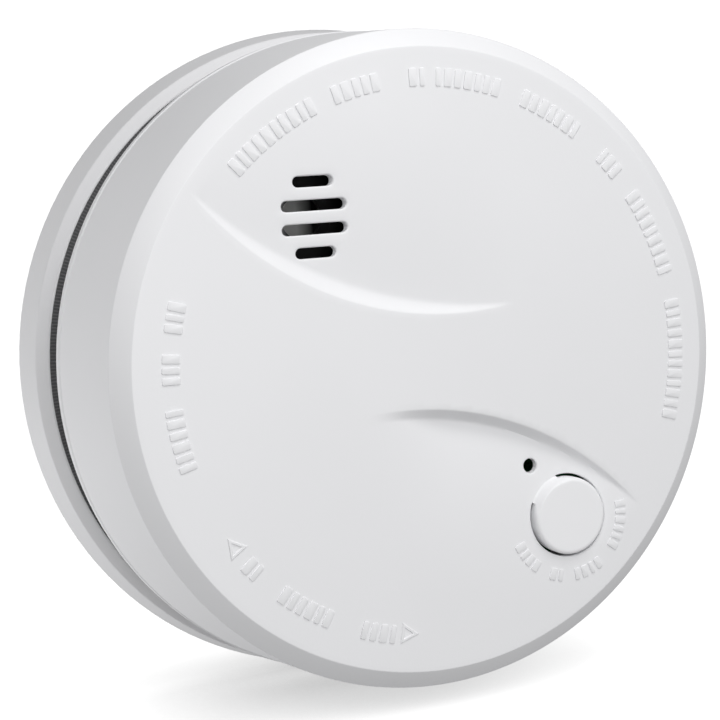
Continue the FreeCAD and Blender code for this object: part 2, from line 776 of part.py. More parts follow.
def axial_part(x, y, angle, body_r, body_length, span):
    """A resistor or diode lying on the board with both leads bent down."""
    z = board_z1 + body_r + 0.2
    half = body_length / 2
    body = Part.makeCylinder(body_r * 0.85, body_length, V(-half, 0, z), V(1, 0, 0))
    caps = []
    for side in (-1, 1):
        start = min(side * half, side * (half - body_length * 0.26))
        caps.append(Part.makeCylinder(body_r, body_length * 0.26, V(start, 0, z), V(1, 0, 0)))
    lead = wire_rod([V(-span / 2, 0, board_z1), V(-span / 2, 0, z), V(span / 2, 0, z),
                     V(span / 2, 0, board_z1)], 0.25)
    part = body.fuse(caps + [lead])
    part.translate(V(x, y, 0))
    return turned(part, angle, x, y)


def resistors():
    """Nine quarter-watt resistors."""
    row = [axial_part(-12.0 + 4.2 * i, -30.0, 90, 1.15, 6.2, 10.0) for i in range(5)]
    side = [axial_part(-33.0 + 4.0 * i, -14.5, 90, 1.15, 6.2, 10.0) for i in range(4)]
    return group(row + side)


def diodes():
    """Three small glass diodes."""
    return group([axial_part(26.5, 26.0 - 4.2 * i, 0, 0.9, 3.6, 7.0) for i in range(2)]
                 + [axial_part(33.5, -14.0, 90, 0.9, 3.6, 7.0)])


def ceramic_capacitors():
    """Five disc capacitors standing on edge."""
    discs = []
    for x, y, angle in ((-2, -8.5, 0), (4, -8.5, 0), (31.5, 0.5, 90), (16, 38.5, 0), (23, 33.5, 30)):
        disc = Part.makeCylinder(2.3, 1.6, V(0, -0.8, board_z1 + 3.0), V(0, 1, 0))
        rounding = Part.makeSphere(2.95, V(0, 0, board_z1 + 3.0))
        legs = [cylinder(d, 0, 0.25, board_z1, board_z1 + 1.6) for d in (-1.27, 1.27)]
        shape = disc.common(rounding).fuse(legs)
        shape.translate(V(x, y, 0))
        discs.append(turned(shape, angle, x, y))
    return group(discs)


def transistors():
    """Three D-shaped transistors on their legs."""
    shapes = []
    for x, y, angle in ((-9.5, -14.5, 0), (24.0, -10.0, 90), (37.0, -12.5, 60)):
        head = cylinder(0, 0, 2.3, board_z1 + 2.2, board_z1 + 6.8)
        head = head.cut(block(-3, 3, -3, -1.4, board_z1, board_z1 + 8))
        legs = [block(d - 0.2, d + 0.2, -0.2, 0.2, board_z1, board_z1 + 2.3) for d in (-1.27, 0, 1.27)]
        shape = head.fuse(legs)
        shape.translate(V(x, y, 0))
        shapes.append(turned(shape, angle, x, y))
    return group(shapes)


# ---- indicator and switch -----------------------------------------------------------------------
lamp_base_z = 30.2


def indicator_lamp():
    """The red 3 mm indicator."""
    z = lamp_base_z
    lens = cylinder(lamp_x, lamp_y, 1.5, z + 0.9, z + 3.7)
    dome = Part.makeSphere(1.5, V(lamp_x, lamp_y, z + 3.7))
    flange = cylinder(lamp_x, lamp_y, 1.9, z, z + 1.0)
    return flange.fuse([lens, dome])


def indicator_spacer():
    """The black stand that holds the indicator up behind its hole."""
    body = cylinder(lamp_x, lamp_y, 2.4, board_z1, lamp_base_z)
    for side in (-1, 1):
        bore = cylinder(lamp_x + side * lead_pitch, lamp_y, 0.5, board_z1 - 1, lamp_base_z + 1)
        body = body.cut(bore)
    return body.cut(block(lamp_x - 3, lamp_x + 3, lamp_y - 0.6, lamp_y + 0.6, board_z1 - 1, board_z1 + 1.2))


def indicator_leads():
    """The indicator's two leads, inside the stand."""
    return group([cylinder(lamp_x + side * lead_pitch, lamp_y, lead_r, board_z0 + 0.1, lamp_base_z)
                  for side in (-1, 1)])


switch_top_z = 32.2
switch_body_z = board_z1 + 3.6


def switch_body():
    """The test switch's square case, with a well for its plunger."""
    body = block(button_x - 3, button_x + 3, button_y - 3, button_y + 3, board_z1, switch_body_z)
    return body.cut(cylinder(button_x, button_y, 1.95, switch_body_z - 1.3, switch_body_z + 1))


def switch_plate():
    """The steel plate on the switch, staked at its corners."""
    plate_top = switch_body_z + 0.25
    sheet = block(button_x - 2.9, button_x + 2.9, button_y - 2.9, button_y + 2.9, switch_body_z, plate_top)
    sheet = sheet.cut(cylinder(button_x, button_y, 2.05, switch_body_z - 1, plate_top + 1))
    studs = [cylinder(button_x + sx * 2.3, button_y + sy * 2.3, 0.35, switch_body_z, plate_top + 0.25)
             for sx in (-1, 1) for sy in (-1, 1)]
    return sheet.fuse(studs)


def switch_plunger():
    """The switch's round plunger."""
    z0 = switch_body_z - 0.7
    return spun([(0, z0), (1.7, z0), (1.7, switch_top_z - 0.3), (1.4, switch_top_z), (0, switch_top_z)],
                button_x, button_y)


# ---- battery, its contacts and the battery-missing flap ----------------------------------------
def battery_outline(x0, x1, inset, radius):
    """A bar along X with the battery's section, its long edges rounded."""
    y0 = battery_y - battery_width / 2 + inset
    y1 = battery_y + battery_width / 2 - inset
    z0 = battery_z0 + inset
    z1 = battery_z0 + battery_depth - inset
    bar = block(x0, x1, y0, y1, z0, z1)
    edges = [e for e in bar.Edges if abs(e.tangentAt(e.FirstParameter).x) > 0.9]
    return bar.makeFillet(radius, edges)


def battery_case():
    """The battery's wrapped jacket."""
    return battery_outline(battery_x0 + 0.5, battery_x0 + battery_length - 0.5, 0.0, 2.0)


def battery_end(x0, x1):
    """The plate that closes one end of the battery."""
    return battery_outline(x0, x1, 0.5, 1.6)


def battery_foot():
    """The plate at the battery's plain end."""
    return battery_end(battery_x0, battery_x0 + 0.5)


def battery_top():
    """The plate that carries the battery's two terminals."""
    end = battery_x0 + battery_length
    return battery_end(end - 0.5, end)


def along_x(profile, y):
    """A turned piece whose axis runs along X at the height of the terminals."""
    turned_piece = spun(profile)
    turned_piece.rotate(V(0, 0, 0), V(0, 1, 0), 90)
    turned_piece.translate(V(battery_x0 + battery_length, y, battery_z0 + battery_depth / 2))
    return turned_piece


def positive_terminal():
    """The smaller, round snap."""
    profile = [(0, 0), (3.6, 0), (3.6, 0.4), (2.6, 0.5), (2.75, 2.2), (2.2, 2.6), (1.2, 2.6),
               (1.0, 2.3), (0, 2.3)]
    return along_x(profile, contact_places()[0])


def negative_terminal():
    """The larger, open snap, with six petals."""
    profile = [(0, 0), (4.4, 0), (4.4, 0.4), (3.6, 0.5), (3.9, 1.7), (4.3, 2.6), (3.8, 2.6),
               (3.2, 1.2), (0, 1.0)]
    snap = along_x(profile, contact_places()[1])
    x = battery_x0 + battery_length
    z = battery_z0 + battery_depth / 2
    for i in range(3):
        gap = block(x + 0.9, x + 4, -6, 6, -0.3, 0.3)
        gap.rotate(V(x, 0, 0), V(1, 0, 0), 60.0 * i)
        gap.translate(V(0, contact_places()[1], z))
        snap = snap.cut(gap)
    return snap


def contact_spring(y):
    """A bent strip from the battery's terminal, up the bay's end and through the board."""
    touch = battery_x0 + battery_length + 2.6 + 0.35
    path = [(25.9, 4.6), (25.2, 4.2), (touch, 8.6), (touch, 14.2), (26.1, 18.4), (26.1, board_z1 + 1.2)]
    return strip(path, 0.35, y - 2.6, y + 2.6)


def lockout_flap():
    """The red flap that the battery holds down, and that stands out when there is none."""
    x0 = flap_pin_x
    body = block(x0, x0 + flap_length, flap_y[0], flap_y[1], flap_z - 0.7, flap_z + 0.7)
    tip_round = cylinder(x0 + flap_length - 3, sum(flap_y) / 2, 6.0, 0, 40)
    shank = block(x0 - 1, x0 + flap_length - 3, -50, 0, 0, 40)
    body = body.common(tip_round.fuse(shank))
    barrel = Part.makeCylinder(0.8, flap_y[1] - flap_y[0], V(x0, flap_y[0], flap_z), V(0, 1, 0))
    body = body.fuse(barrel)
    window = rounded_slot(x0 + 12, sum(flap_y) / 2, 12, 4.4, 0, 40)
    return body.cut(window).cut(flap_pin_hole(flap_pin_r + 0.05, -50, 0))


def flap_pin():
    """The steel pin that the flap turns on."""
    return flap_pin_hole(flap_pin_r, flap_y[0] - 1.4, flap_y[1] + 1.4)


def rear_label():
    """A plain paper label on the back of the housing."""
    label = rounded_slot(0, 17.0, 62.0, 30.0, housing_back_z - 0.1, housing_back_z)
    return label


def main():
    os.makedirs(OUT, exist_ok=True)
    shapes = {
        "mounting_base": mounting_base(),
        "rear_housing": rear_housing(),
        "front_cover": front_cover(),
        "test_button": test_button(),
        "perimeter_screen": perimeter_screen(),
        "circuit_board": circuit_board(),
        "board_screws": board_screws(),
        "chamber_block": chamber_block(),
        "chamber_labyrinth": chamber_labyrinth(),
        "chamber_screen": chamber_screen(),
        "infrared_emitter": optic_lamp(emitter_angle, optic_reach),
        "photodiode": optic_lamp(receiver_angle, optic_reach),
        "photodiode_shield": photodiode_shield(),
        "horn_housing": horn_housing(),
        "horn_cap": horn_cap(),
        "horn_disc": horn_disc(),
        "horn_ceramic": horn_ceramic(),
        "horn_contacts": horn_contacts(),
        "horn_gasket": horn_gasket(),
        "detector_chip": detector_chip(),
        "chip_legs": chip_legs(),
        "capacitor_large": can_capacitor(-27.0, -1.5, 4.0, 11.0),
        "capacitor_medium": can_capacitor(-36.0, 1.5, 3.15, 9.0),
        "capacitor_small": can_capacitor(-17.0, -2.5, 2.5, 8.0),
        "coil_core": coil_core(),
        "coil_winding": coil_winding(),
        "resistors": resistors(),
        "diodes": diodes(),
        "ceramic_capacitors": ceramic_capacitors(),
        "transistors": transistors(),
        "indicator_lamp": indicator_lamp(),
        "indicator_spacer": indicator_spacer(),
        "indicator_leads": indicator_leads(),
        "switch_body": switch_body(),
        "switch_plate": switch_plate(),
        "switch_plunger": switch_plunger(),
        "battery_case": battery_case(),
        "battery_top": battery_top(),
        "battery_foot": battery_foot(),
        "battery_positive": positive_terminal(),
        "battery_negative": negative_terminal(),
        "contact_spring_positive": contact_spring(contact_places()[0]),
        "contact_spring_negative": contact_spring(contact_places()[1]),
        "lockout_flap": lockout_flap(),
        "flap_pin": flap_pin(),
        "rear_label": rear_label(),
    }
    for name, shape in shapes.items():
        export(name, shape)


main()
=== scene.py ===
"""Looks for the smoke detector: its smooth cover and button, its plastics and metals, light and camera.

Shapes are worked out in a bench frame in millimetres, with x to the right of the face, y up it and z out
of the wall towards the viewer. bench() turns that into the frame's metres.
"""
import json
import math
import bmesh
import bpy
from mathutils import Matrix, Vector
from mathutils.geometry import delaunay_2d_cdt


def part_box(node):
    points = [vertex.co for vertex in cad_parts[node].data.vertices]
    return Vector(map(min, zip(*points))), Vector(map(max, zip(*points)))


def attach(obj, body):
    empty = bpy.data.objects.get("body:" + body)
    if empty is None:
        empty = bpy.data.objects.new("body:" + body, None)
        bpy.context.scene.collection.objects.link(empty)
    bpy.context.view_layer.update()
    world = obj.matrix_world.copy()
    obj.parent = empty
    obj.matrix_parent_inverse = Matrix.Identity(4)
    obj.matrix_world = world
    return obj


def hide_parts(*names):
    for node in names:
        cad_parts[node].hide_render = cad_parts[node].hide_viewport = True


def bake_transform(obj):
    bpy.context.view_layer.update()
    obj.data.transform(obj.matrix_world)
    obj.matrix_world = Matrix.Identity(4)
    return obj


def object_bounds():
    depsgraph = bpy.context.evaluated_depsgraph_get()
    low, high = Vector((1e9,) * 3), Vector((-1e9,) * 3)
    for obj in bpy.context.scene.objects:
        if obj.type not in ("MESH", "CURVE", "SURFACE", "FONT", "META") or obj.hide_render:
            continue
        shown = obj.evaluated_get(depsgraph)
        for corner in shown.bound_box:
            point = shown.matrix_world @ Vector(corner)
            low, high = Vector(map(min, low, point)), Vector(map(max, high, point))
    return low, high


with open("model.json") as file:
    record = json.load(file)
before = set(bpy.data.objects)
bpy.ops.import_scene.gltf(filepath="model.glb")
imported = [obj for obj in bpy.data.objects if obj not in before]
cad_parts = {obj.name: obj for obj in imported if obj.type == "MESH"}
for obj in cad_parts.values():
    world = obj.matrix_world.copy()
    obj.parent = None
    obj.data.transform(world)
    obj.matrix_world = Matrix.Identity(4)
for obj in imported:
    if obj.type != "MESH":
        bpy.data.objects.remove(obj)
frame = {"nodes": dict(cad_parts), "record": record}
cad_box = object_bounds()
MM = 0.001


def bench(x, y, z):
    """A bench point in the frame's metres."""
    return Vector((x * MM, -z * MM, y * MM))


def centre_of(node):
    """A CAD node's middle on the face, in bench millimetres."""
    low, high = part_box(node)
    return (low[0] + high[0]) / 2 / MM, (low[2] + high[2]) / 2 / MM


# ---- sizes, in bench millimetres and degrees ----------------------------------------------------
BUTTON = centre_of("test_button")
LAMP = centre_of("indicator_lamp")
HORN = centre_of("horn_cap")
FACE_Z = -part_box("front_cover")[0][1] / MM
BUTTON_TOP_Z = -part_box("test_button")[0][1] / MM
FOOT_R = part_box("front_cover")[1][0] / MM

# front cover: wall thickness, where the lathed rim takes over from the face, chamfer and foot band;
# inner_follow is the share of the lobes' depth that the inside follows
skin = 1.8
inner_follow = 0.4
grid_edge_r = 45.6
face_r = 46.45
shoulder_r = 49.25
shoulder_z = FACE_Z - 2.1
foot_z = 15.5
band_top_z = foot_z + 2.2
band_step = 0.22
# fillets of the cover's outside profile, by corner
cover_fillets = {1: 0.35, 2: 0.3, 3: 0.15, 4: 0.15, 5: 0.7}
round_segments = 720
# the face's open grid: its spacing, its rows as a share of that, and the cells finer points keep clear
grid_spacing = 0.8
grid_row = 0.866
crowd_cell = 0.3

# holes in the face; slot_shift is how far the slots lie to the right of the sounder
slot_pitch = 3.42
slot_lengths = (6.25, 10.1, 10.1, 6.25)
slot_r = 0.8
slot_shift = 0.4
lamp_hole_r = 1.1
hole_round = 0.25

# test button: button_edge_drop is the share of its height that the free edge loses, and button_strip
# is the outer strip that stretches to meet the face
button_hole_r = 6.4
button_r = 5.97
button_top_r = 5.3
button_edge_drop = 0.5
button_strip = 0.4
button_segments = 192

# the button's web, in degrees round the button: its direction, half its width, how softly it ends, and
# how far past its end its slope still shows
neck_angle = 129.35
neck_half = 26.85
neck_blend = 2.0
web_fade = 20.0

# the button's underside: its wall and web, the hollow, and the post with its gap to the plunger
button_wall = 1.4
skirt_lift = 0.2
hollow_r = 4.3
post_r = 1.5
post_tip_r = 1.3
post_chamfer = 0.2
post_gap = 0.15

# each lobe's wall lies between two arcs, given as centre x, centre y and radius; then come the wall's
# slope, how fast it eases into the floor, and the two x positions between which it fades in
lobes = (((4.88, 58.38, 51.44), (12.82, 78.47, 70.66), 0.60, 1.4, (14.5, 11.0)),
         ((-6.93, -59.48, 52.78), (-8.8, -67.6, 59.6), 1.55, 1.12, (-12.0, 5.0)))
# lobe_ease makes a lobe shallow where its arcs meet, its floor rises back over lobe_run, lobe_corner
# rounds the top of its wall, and it fades out between the lobe_fade_r radii
lobe_ease = 0.3
lobe_run = 26.0
lobe_corner = 0.14
lobe_fade_r = (43.0, 45.4)
lobe_line_half = 55.0
lobe_line_step = 0.5


# ---- the face's height --------------------------------------------------------------------------
def smooth(t):
    """0 to 1 with level ends."""
    t = min(max(t, 0.0), 1.0)
    return t * t * (3 - 2 * t)


def soft_positive(t, e):
    """max(t, 0) with its corner rounded over e each side."""
    if t <= -e:
        return 0.0
    return t if t >= e else (t + e) ** 2 / (4 * e)


def lobe_drop(x, y):
    """How far the two lobes lower the face at a point."""
    drop = 0.0
    for (ox, oy, outer_r), (ix, iy, inner_r), slope, easing, (fade_start, fade_end) in lobes:
        outer = outer_r - math.hypot(x - ox, y - oy)
        inner = inner_r - math.hypot(x - ix, y - iy)
        width = outer - inner
        if width <= 0 or outer < -lobe_corner or inner > lobe_run:
            continue
        depth = slope * width * width / (width + lobe_ease)
        ramp = min(soft_positive(outer, lobe_corner) / width, 1.0)
        wall = 1 - (1 - ramp) ** easing
        floor = (1 - max(inner, 0.0) / lobe_run) ** 2
        drop += depth * wall * floor * smooth((x - fade_start) / (fade_end - fade_start))
    low, high = lobe_fade_r
    return drop * smooth((high - math.hypot(x, y)) / (high - low))


def face_height(x, y):
    """The face's own surface, before holes."""
    return FACE_Z - lobe_drop(x, y)


# ---- outlines of the holes ----------------------------------------------------------------------
def slot_outline(x, y, length, grow, step=0.3):
    """Points round a slot, grown by some margin."""
    r = slot_r + grow
    half = length / 2 - slot_r
    arc = max(8, int(math.pi * r / step))
    run = max(2, int(2 * half / step))
    points = []
    for side in (1, -1):
        for i in range(arc):
            a = math.pi * (i / arc) - math.pi / 2
            points.append((x + side * (half + r * math.cos(a)), y + side * r * math.sin(a)))
        for i in range(run):
            points.append((x + side * (half - 2 * half * i / run), y + side * r))
    return points


def circle_outline(x, y, r, count):
    """Points round a circle."""
    return [(x + r * math.cos(2 * math.pi * i / count), y + r * math.sin(2 * math.pi * i / count))
            for i in range(count)]


def sound_slots():
    """Centre and length of each sound slot."""
    middle = (len(slot_lengths) - 1) / 2
    return [(HORN[0] + slot_shift, HORN[1] + (middle - i) * slot_pitch, length)
            for i, length in enumerate(slot_lengths)]


def past_neck(angle):
    """Degrees from the web's end round the button, negative inside the web."""
    return abs((angle - neck_angle + 180) % 360 - 180) - neck_half


def neck_weight(angle):
    """1 in the web that joins the button to the face, 0 elsewhere round it."""
    return smooth((neck_blend / 2 - past_neck(angle)) / neck_blend)


def rounding(offset):
    """How far an edge of radius hole_round has dropped at this offset from the wall."""
    inset = hole_round - min(offset, hole_round)
    return hole_round - math.sqrt(max(hole_round ** 2 - inset ** 2, 0.0))


def holes():
    """Each hole as (outline at an offset, weight of its rounding at a point)."""
    found = []
    for x, y, length in sound_slots():
        found.append((lambda o, x=x, y=y, n=length: slot_outline(x, y, n, o), lambda p: 1.0))
    found.append((lambda o: circle_outline(*LAMP, lamp_hole_r + o, 40), lambda p: 1.0))
    found.append((lambda o: circle_outline(*BUTTON, button_hole_r + o, button_segments),
                  lambda p: 1 - neck_weight(math.degrees(math.atan2(p[1] - BUTTON[1], p[0] - BUTTON[0])))))
    return found


# ---- mesh helpers -------------------------------------------------------------------------------
def add_piece(name, mesh, body, material):
    """A finished mesh as a piece that rides on a body."""
    piece = bpy.data.objects.new(name, mesh)
    bpy.context.collection.objects.link(piece)
    mesh.materials.append(material)
    if body:
        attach(piece, body)
    return piece


def shade(bm, sharp_angle=40.0):
    """Smooth shading, with edges sharper than the angle kept crisp."""
    for face in bm.faces:
        face.smooth = True
    limit = math.radians(sharp_angle)
    for edge in bm.edges:
        if len(edge.link_faces) == 2:
            edge.smooth = edge.calc_face_angle(0.0) < limit


def to_mesh(bm, name, sharp_angle=40.0):
    """Closes off a bmesh in bench millimetres and turns it into the frame."""
    bmesh.ops.recalc_face_normals(bm, faces=bm.faces)
    shade(bm, sharp_angle)
    for v in bm.verts:
        v.co = bench(*v.co)
    mesh = bpy.data.meshes.new(name)
    bm.to_mesh(mesh)
    bm.free()
    return mesh


def ring_of(bm, count, place, x=0.0, y=0.0):
    """A closed ring of vertices; place gives (radius, height) at an angle in degrees."""
    ring = []
    for i in range(count):
        a = 360.0 * i / count
        r, z = place(a)
        c = math.cos(math.radians(a))
        s = math.sin(math.radians(a))
        ring.append(bm.verts.new((x + r * c, y + r * s, z)))
    return ring


def bridge(bm, first, second):
    """Quads between two rings of the same count."""
    count = len(first)
    for i in range(count):
        j = (i + 1) % count
        bm.faces.new((first[i], first[j], second[j], second[i]))


def lathe(bm, profile, count, x=0.0, y=0.0):
    """Rings for each (radius, height) of an open profile, bridged; returns the rings."""
    rings = [ring_of(bm, count, lambda a, p=p: p, x, y) for p in profile]
    for first, second in zip(rings, rings[1:]):
        bridge(bm, first, second)
    return rings


def corner(before, at, after, radius, steps=4):
    """Points of a round corner between two straight runs of a profile."""
    a = Vector(before) - Vector(at)
    b = Vector(after) - Vector(at)
    a.normalize()
    b.normalize()
    half = math.acos(max(-1.0, min(1.0, a.dot(b)))) / 2
    reach = radius / math.tan(half)
    middle = Vector(at) + (a + b).normalized() * (radius / math.sin(half))
    start = Vector(at) + a * reach - middle
    end = Vector(at) + b * reach - middle
    points = []
    for i in range(steps + 1):
        mixed = start.lerp(end, i / steps).normalized() * radius
        points.append(tuple(middle + mixed))
    return points


def rounded_profile(points, radii):
    """An open profile whose corners with a radius are rounded."""
    out = [points[0]]
    for i in range(1, len(points) - 1):
        radius = radii.get(i)
        if radius:
            out += corner(points[i - 1], points[i], points[i + 1], radius)
        else:
            out.append(points[i])
    out.append(points[-1])
    return out


# ---- front cover --------------------------------------------------------------------------------
def face_grid():
    """Flat triangulation of the face round its holes: points, triangles, and each hole's loops."""
    offsets = (0.0, 0.02, 0.07, 0.15, hole_round)
    points, edges, drops, hole_rings, keep_out = [], [], [], [], []
    for outline, weight in holes():
        rings = []
        for offset in offsets:
            loop = outline(offset)
            start = len(points)
            count = len(loop)
            points += loop
            drops += [rounding(offset) * weight(p) for p in loop]
            edges += [(start + i, start + (i + 1) % count) for i in range(count)]
            rings.append(range(start, start + count))
        hole_rings.append(rings[0])
        keep_out.append(outline(hole_round + 0.2))
    rim_start = len(points)
    rim = circle_outline(0, 0, grid_edge_r, round_segments)
    points += rim
    edges += [(rim_start + i, rim_start + (i + 1) % round_segments) for i in range(round_segments)]
    for line in lobe_lines():
        start = len(points)
        points += line
        edges += [(start + i, start + i + 1) for i in range(len(line) - 1)]
    crowd = set()
    for x, y in points:
        for dx in (-1, 0, 1):
            for dy in (-1, 0, 1):
                crowd.add((round(x / crowd_cell) + dx, round(y / crowd_cell) + dy))
    points += [p for p in open_grid(grid_spacing)
               if (round(p[0] / crowd_cell), round(p[1] / crowd_cell)) not in crowd
               and not any(inside(p, loop) for loop in keep_out)]
    drops += [0.0] * (len(points) - len(drops))
    found = delaunay_2d_cdt([Vector(p) for p in points], edges, [], 1, 1e-5)
    verts, triangles, origin = found[0], found[2], found[3]
    index = {}
    for new, olds in enumerate(origin):
        for old in olds:
            index[old] = new
    height_drop = [0.0] * len(verts)
    for old, new in index.items():
        height_drop[new] = max(height_drop[new], drops[old]) if old < len(drops) else 0.0
    loops = [[index[i] for i in ring] for ring in hole_rings]
    rim_loop = [index[rim_start + i] for i in range(round_segments)]
    cores = [outline(-0.01) for outline, weight in holes()]
    kept = [t for t in triangles if not in_hole(verts, t, cores)]
    return verts, kept, height_drop, loops, rim_loop


def in_hole(verts, triangle, cores):
    """Whether a triangle's middle lies in a hole."""
    middle = (sum(verts[i][0] for i in triangle) / 3, sum(verts[i][1] for i in triangle) / 3)
    return any(inside(middle, core) for core in cores)


def inside(p, loop):
    """Whether a point is inside a closed loop."""
    x, y = p
    if not (min(q[0] for q in loop) <= x <= max(q[0] for q in loop)):
        return False
    result = False
    for (x0, y0), (x1, y1) in zip(loop, loop[1:] + loop[:1]):
        if (y0 > y) != (y1 > y) and x < (x1 - x0) * (y - y0) / (y1 - y0) + x0:
            result = not result
    return result


def open_grid(step):
    """A triangular grid over the face."""
    points = []
    rows = int(grid_edge_r / (step * grid_row))
    for j in range(-rows, rows + 1):
        y = j * step * grid_row
        count = int(grid_edge_r / step) + 1
        for i in range(-count, count + 1):
            x = (i + 0.5 * (j % 2)) * step
            if math.hypot(x, y) < grid_edge_r - 0.4:
                points.append((x, y))
    return points


def lobe_lines():
    """Lines along each lobe's step, where the face needs fine points."""
    lines = []
    steps = (-lobe_corner, 0.0, lobe_corner, 0.45, 0.75, 1.05, 1.35, 1.65, 1.95, 2.3, 2.7)
    for lobe in lobes:
        cx, cy, r = lobe[0]
        way = math.degrees(math.atan2(-cy, -cx))
        for step in steps:
            line = []
            for i in range(int(2 * lobe_line_half / lobe_line_step) + 1):
                a = math.radians(way - lobe_line_half + lobe_line_step * i)
                x = cx + (r - step) * math.cos(a)
                y = cy + (r - step) * math.sin(a)
                if math.hypot(x, y) < grid_edge_r - 0.6:
                    line.append((x, y))
            lines.append(line)
    return lines


def front_cover(material):
    """The cover as one closed skin: face with lobes and rounded holes, chamfer, wall and foot band."""
    verts, triangles, drop, loops, rim_loop = face_grid()
    bm = bmesh.new()
    outer = []
    inner = []
    for (x, y), d in zip(verts, drop):
        z = face_height(x, y)
        outer.append(bm.verts.new((x, y, z - d)))
        inner.append(bm.verts.new((x, y, FACE_Z - skin - inner_follow * (FACE_Z - z))))
    for a, b, c in triangles:
        bm.faces.new((outer[a], outer[b], outer[c]))
        bm.faces.new((inner[c], inner[b], inner[a]))
    for loop in loops:
        bridge(bm, [outer[i] for i in loop], [inner[i] for i in loop])
    outside = rounded_profile(
        [(grid_edge_r, FACE_Z), (face_r, FACE_Z), (shoulder_r, shoulder_z),
         (FOOT_R - band_step, band_top_z + 0.1), (FOOT_R, band_top_z - 0.15), (FOOT_R, foot_z),
         (FOOT_R - skin, foot_z)],
        cover_fillets)
    inside_profile = [(FOOT_R - skin, foot_z), (shoulder_r - skin, shoulder_z - 1.0),
                      (grid_edge_r + 0.2, FACE_Z - skin), (grid_edge_r, FACE_Z - skin)]
    rings = lathe(bm, outside[1:] + inside_profile[1:-1], round_segments)
    bridge(bm, [outer[i] for i in rim_loop], rings[0])
    bridge(bm, rings[-1], [inner[i] for i in rim_loop])
    loose = [v for v in bm.verts if not v.link_faces]
    bmesh.ops.delete(bm, geom=loose, context="VERTS")
    mesh = to_mesh(bm, "cover_shell")
    piece = add_piece("cover_shell", mesh, "head", material)
    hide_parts("front_cover")


# ---- test button --------------------------------------------------------------------------------
def button_edge(angle):
    """The button's outline: its own radius, and out to the face across the web."""
    return button_r + (button_hole_r - button_r) * neck_weight(angle)


def button_height(angle, r):
    """The bump's height: level on top with a rounded edge, and down to the face across the web."""
    a = math.radians(angle)
    floor = face_height(BUTTON[0] + r * math.cos(a), BUTTON[1] + r * math.sin(a))
    edge = min(max(r - button_top_r, 0.0) / (button_r - button_top_r), 1.0)
    free = button_edge_drop * (1 - math.sqrt(1 - edge * edge))
    across = smooth((r - button_top_r) / (button_hole_r - button_top_r))
    share = free + (across - free) * smooth(1 - past_neck(angle) / web_fade)
    return BUTTON_TOP_Z + (floor - BUTTON_TOP_Z) * share


def button_ring(angle, r):
    """(radius, height) of a ring: round near the middle, stretched to the edge in its outer strip."""
    inside_r = button_r - button_strip
    if r > inside_r:
        r = inside_r + (r - inside_r) * (button_edge(angle) - inside_r) / button_strip
    return r, button_height(angle, r)


def test_button(material):
    """The raised disc on its web, with a hollow underside and the post that meets the switch."""
    bm = bmesh.new()
    steps = [0.7, 1.4, 2.1, 2.8, 3.5, 4.2, 4.7, button_top_r]
    steps += [button_top_r + (button_r - button_top_r) * i / 14 for i in range(1, 15)]
    rings = [ring_of(bm, button_segments, lambda a, t=t: button_ring(a, t), *BUTTON) for t in steps]
    for first, second in zip(rings, rings[1:]):
        bridge(bm, first, second)
    middle = bm.verts.new((BUTTON[0], BUTTON[1], BUTTON_TOP_Z))
    fan(bm, middle, rings[0])
    web_z = FACE_Z - button_wall
    skirt_z = FACE_Z - skin + skirt_lift
    under_z = BUTTON_TOP_Z - button_wall
    post_z = -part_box("switch_plunger")[0][1] / MM + post_gap
    edge = ring_of(bm, button_segments, lambda a: (
        button_edge(a), skirt_z + (web_z - skirt_z) * neck_weight(a)), *BUTTON)
    bridge(bm, rings[-1], edge)
    below = [(hollow_r, skirt_z), (hollow_r, under_z), (post_r, under_z),
             (post_r, post_z + post_chamfer), (post_tip_r, post_z)]
    lower = lathe(bm, below, button_segments, *BUTTON)
    bridge(bm, edge, lower[0])
    fan(bm, bm.verts.new((BUTTON[0], BUTTON[1], post_z)), lower[-1])
    mesh = to_mesh(bm, "button_cap", 50.0)
    piece = add_piece("button_cap", mesh, None, material)
    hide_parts("test_button")
    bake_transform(piece)


def fan(bm, middle, ring):
    """Triangles from a middle vertex to a ring."""
    count = len(ring)
    for i in range(count):
        bm.faces.new((middle, ring[i], ring[(i + 1) % count]))


# ---- relief marks -------------------------------------------------------------------------------
relief_rise = 0.16
block_height = 2.7
block_gap = 0.5
block_widths = (1.0, 1.25, 0.85, 1.2, 1.1, 1.3, 0.95)
# groups of blocks round the face, as a radius and the start and end angles of each group
face_rows = ((41.95, ((134.5, 112), (109, 97), (92, 88), (86, 70), (66, 50), (44, 37), (33, 12), (8, -19))),
             (40.85, ((162.8, 171), (173, 180), (184, 197))),
             (40.9, ((-141, -135), (-131, -117), (-111, -101))))
button_row_r = 9.35
button_rows = ((201, 237), (246.5, 263.5), (273, 305), (320, 374))
# each arrow's radius, angle and direction
arrows = ((40.7, -145.5, -1), (40.6, -99.9, 1))


def raised(bm, outline, rise=relief_rise, bevel=0.1):
    """A small raised patch with sloping sides, standing on the face."""
    cx = sum(p[0] for p in outline) / len(outline)
    cy = sum(p[1] for p in outline) / len(outline)
    rings = []
    for grow, lift in ((0.06, -0.12), (0.0, 0.04), (-bevel * 0.6, rise * 0.85), (-bevel * 1.4, rise)):
        ring = []
        for x, y in outline:
            away = math.hypot(x - cx, y - cy)
            k = (away + grow) / away
            px = cx + (x - cx) * k
            py = cy + (y - cy) * k
            ring.append(bm.verts.new((px, py, face_height(px, py) + lift)))
        rings.append(ring)
    for first, second in zip(rings, rings[1:]):
        bridge(bm, first, second)
    bm.faces.new(rings[-1])
    bm.faces.new(rings[0][::-1])


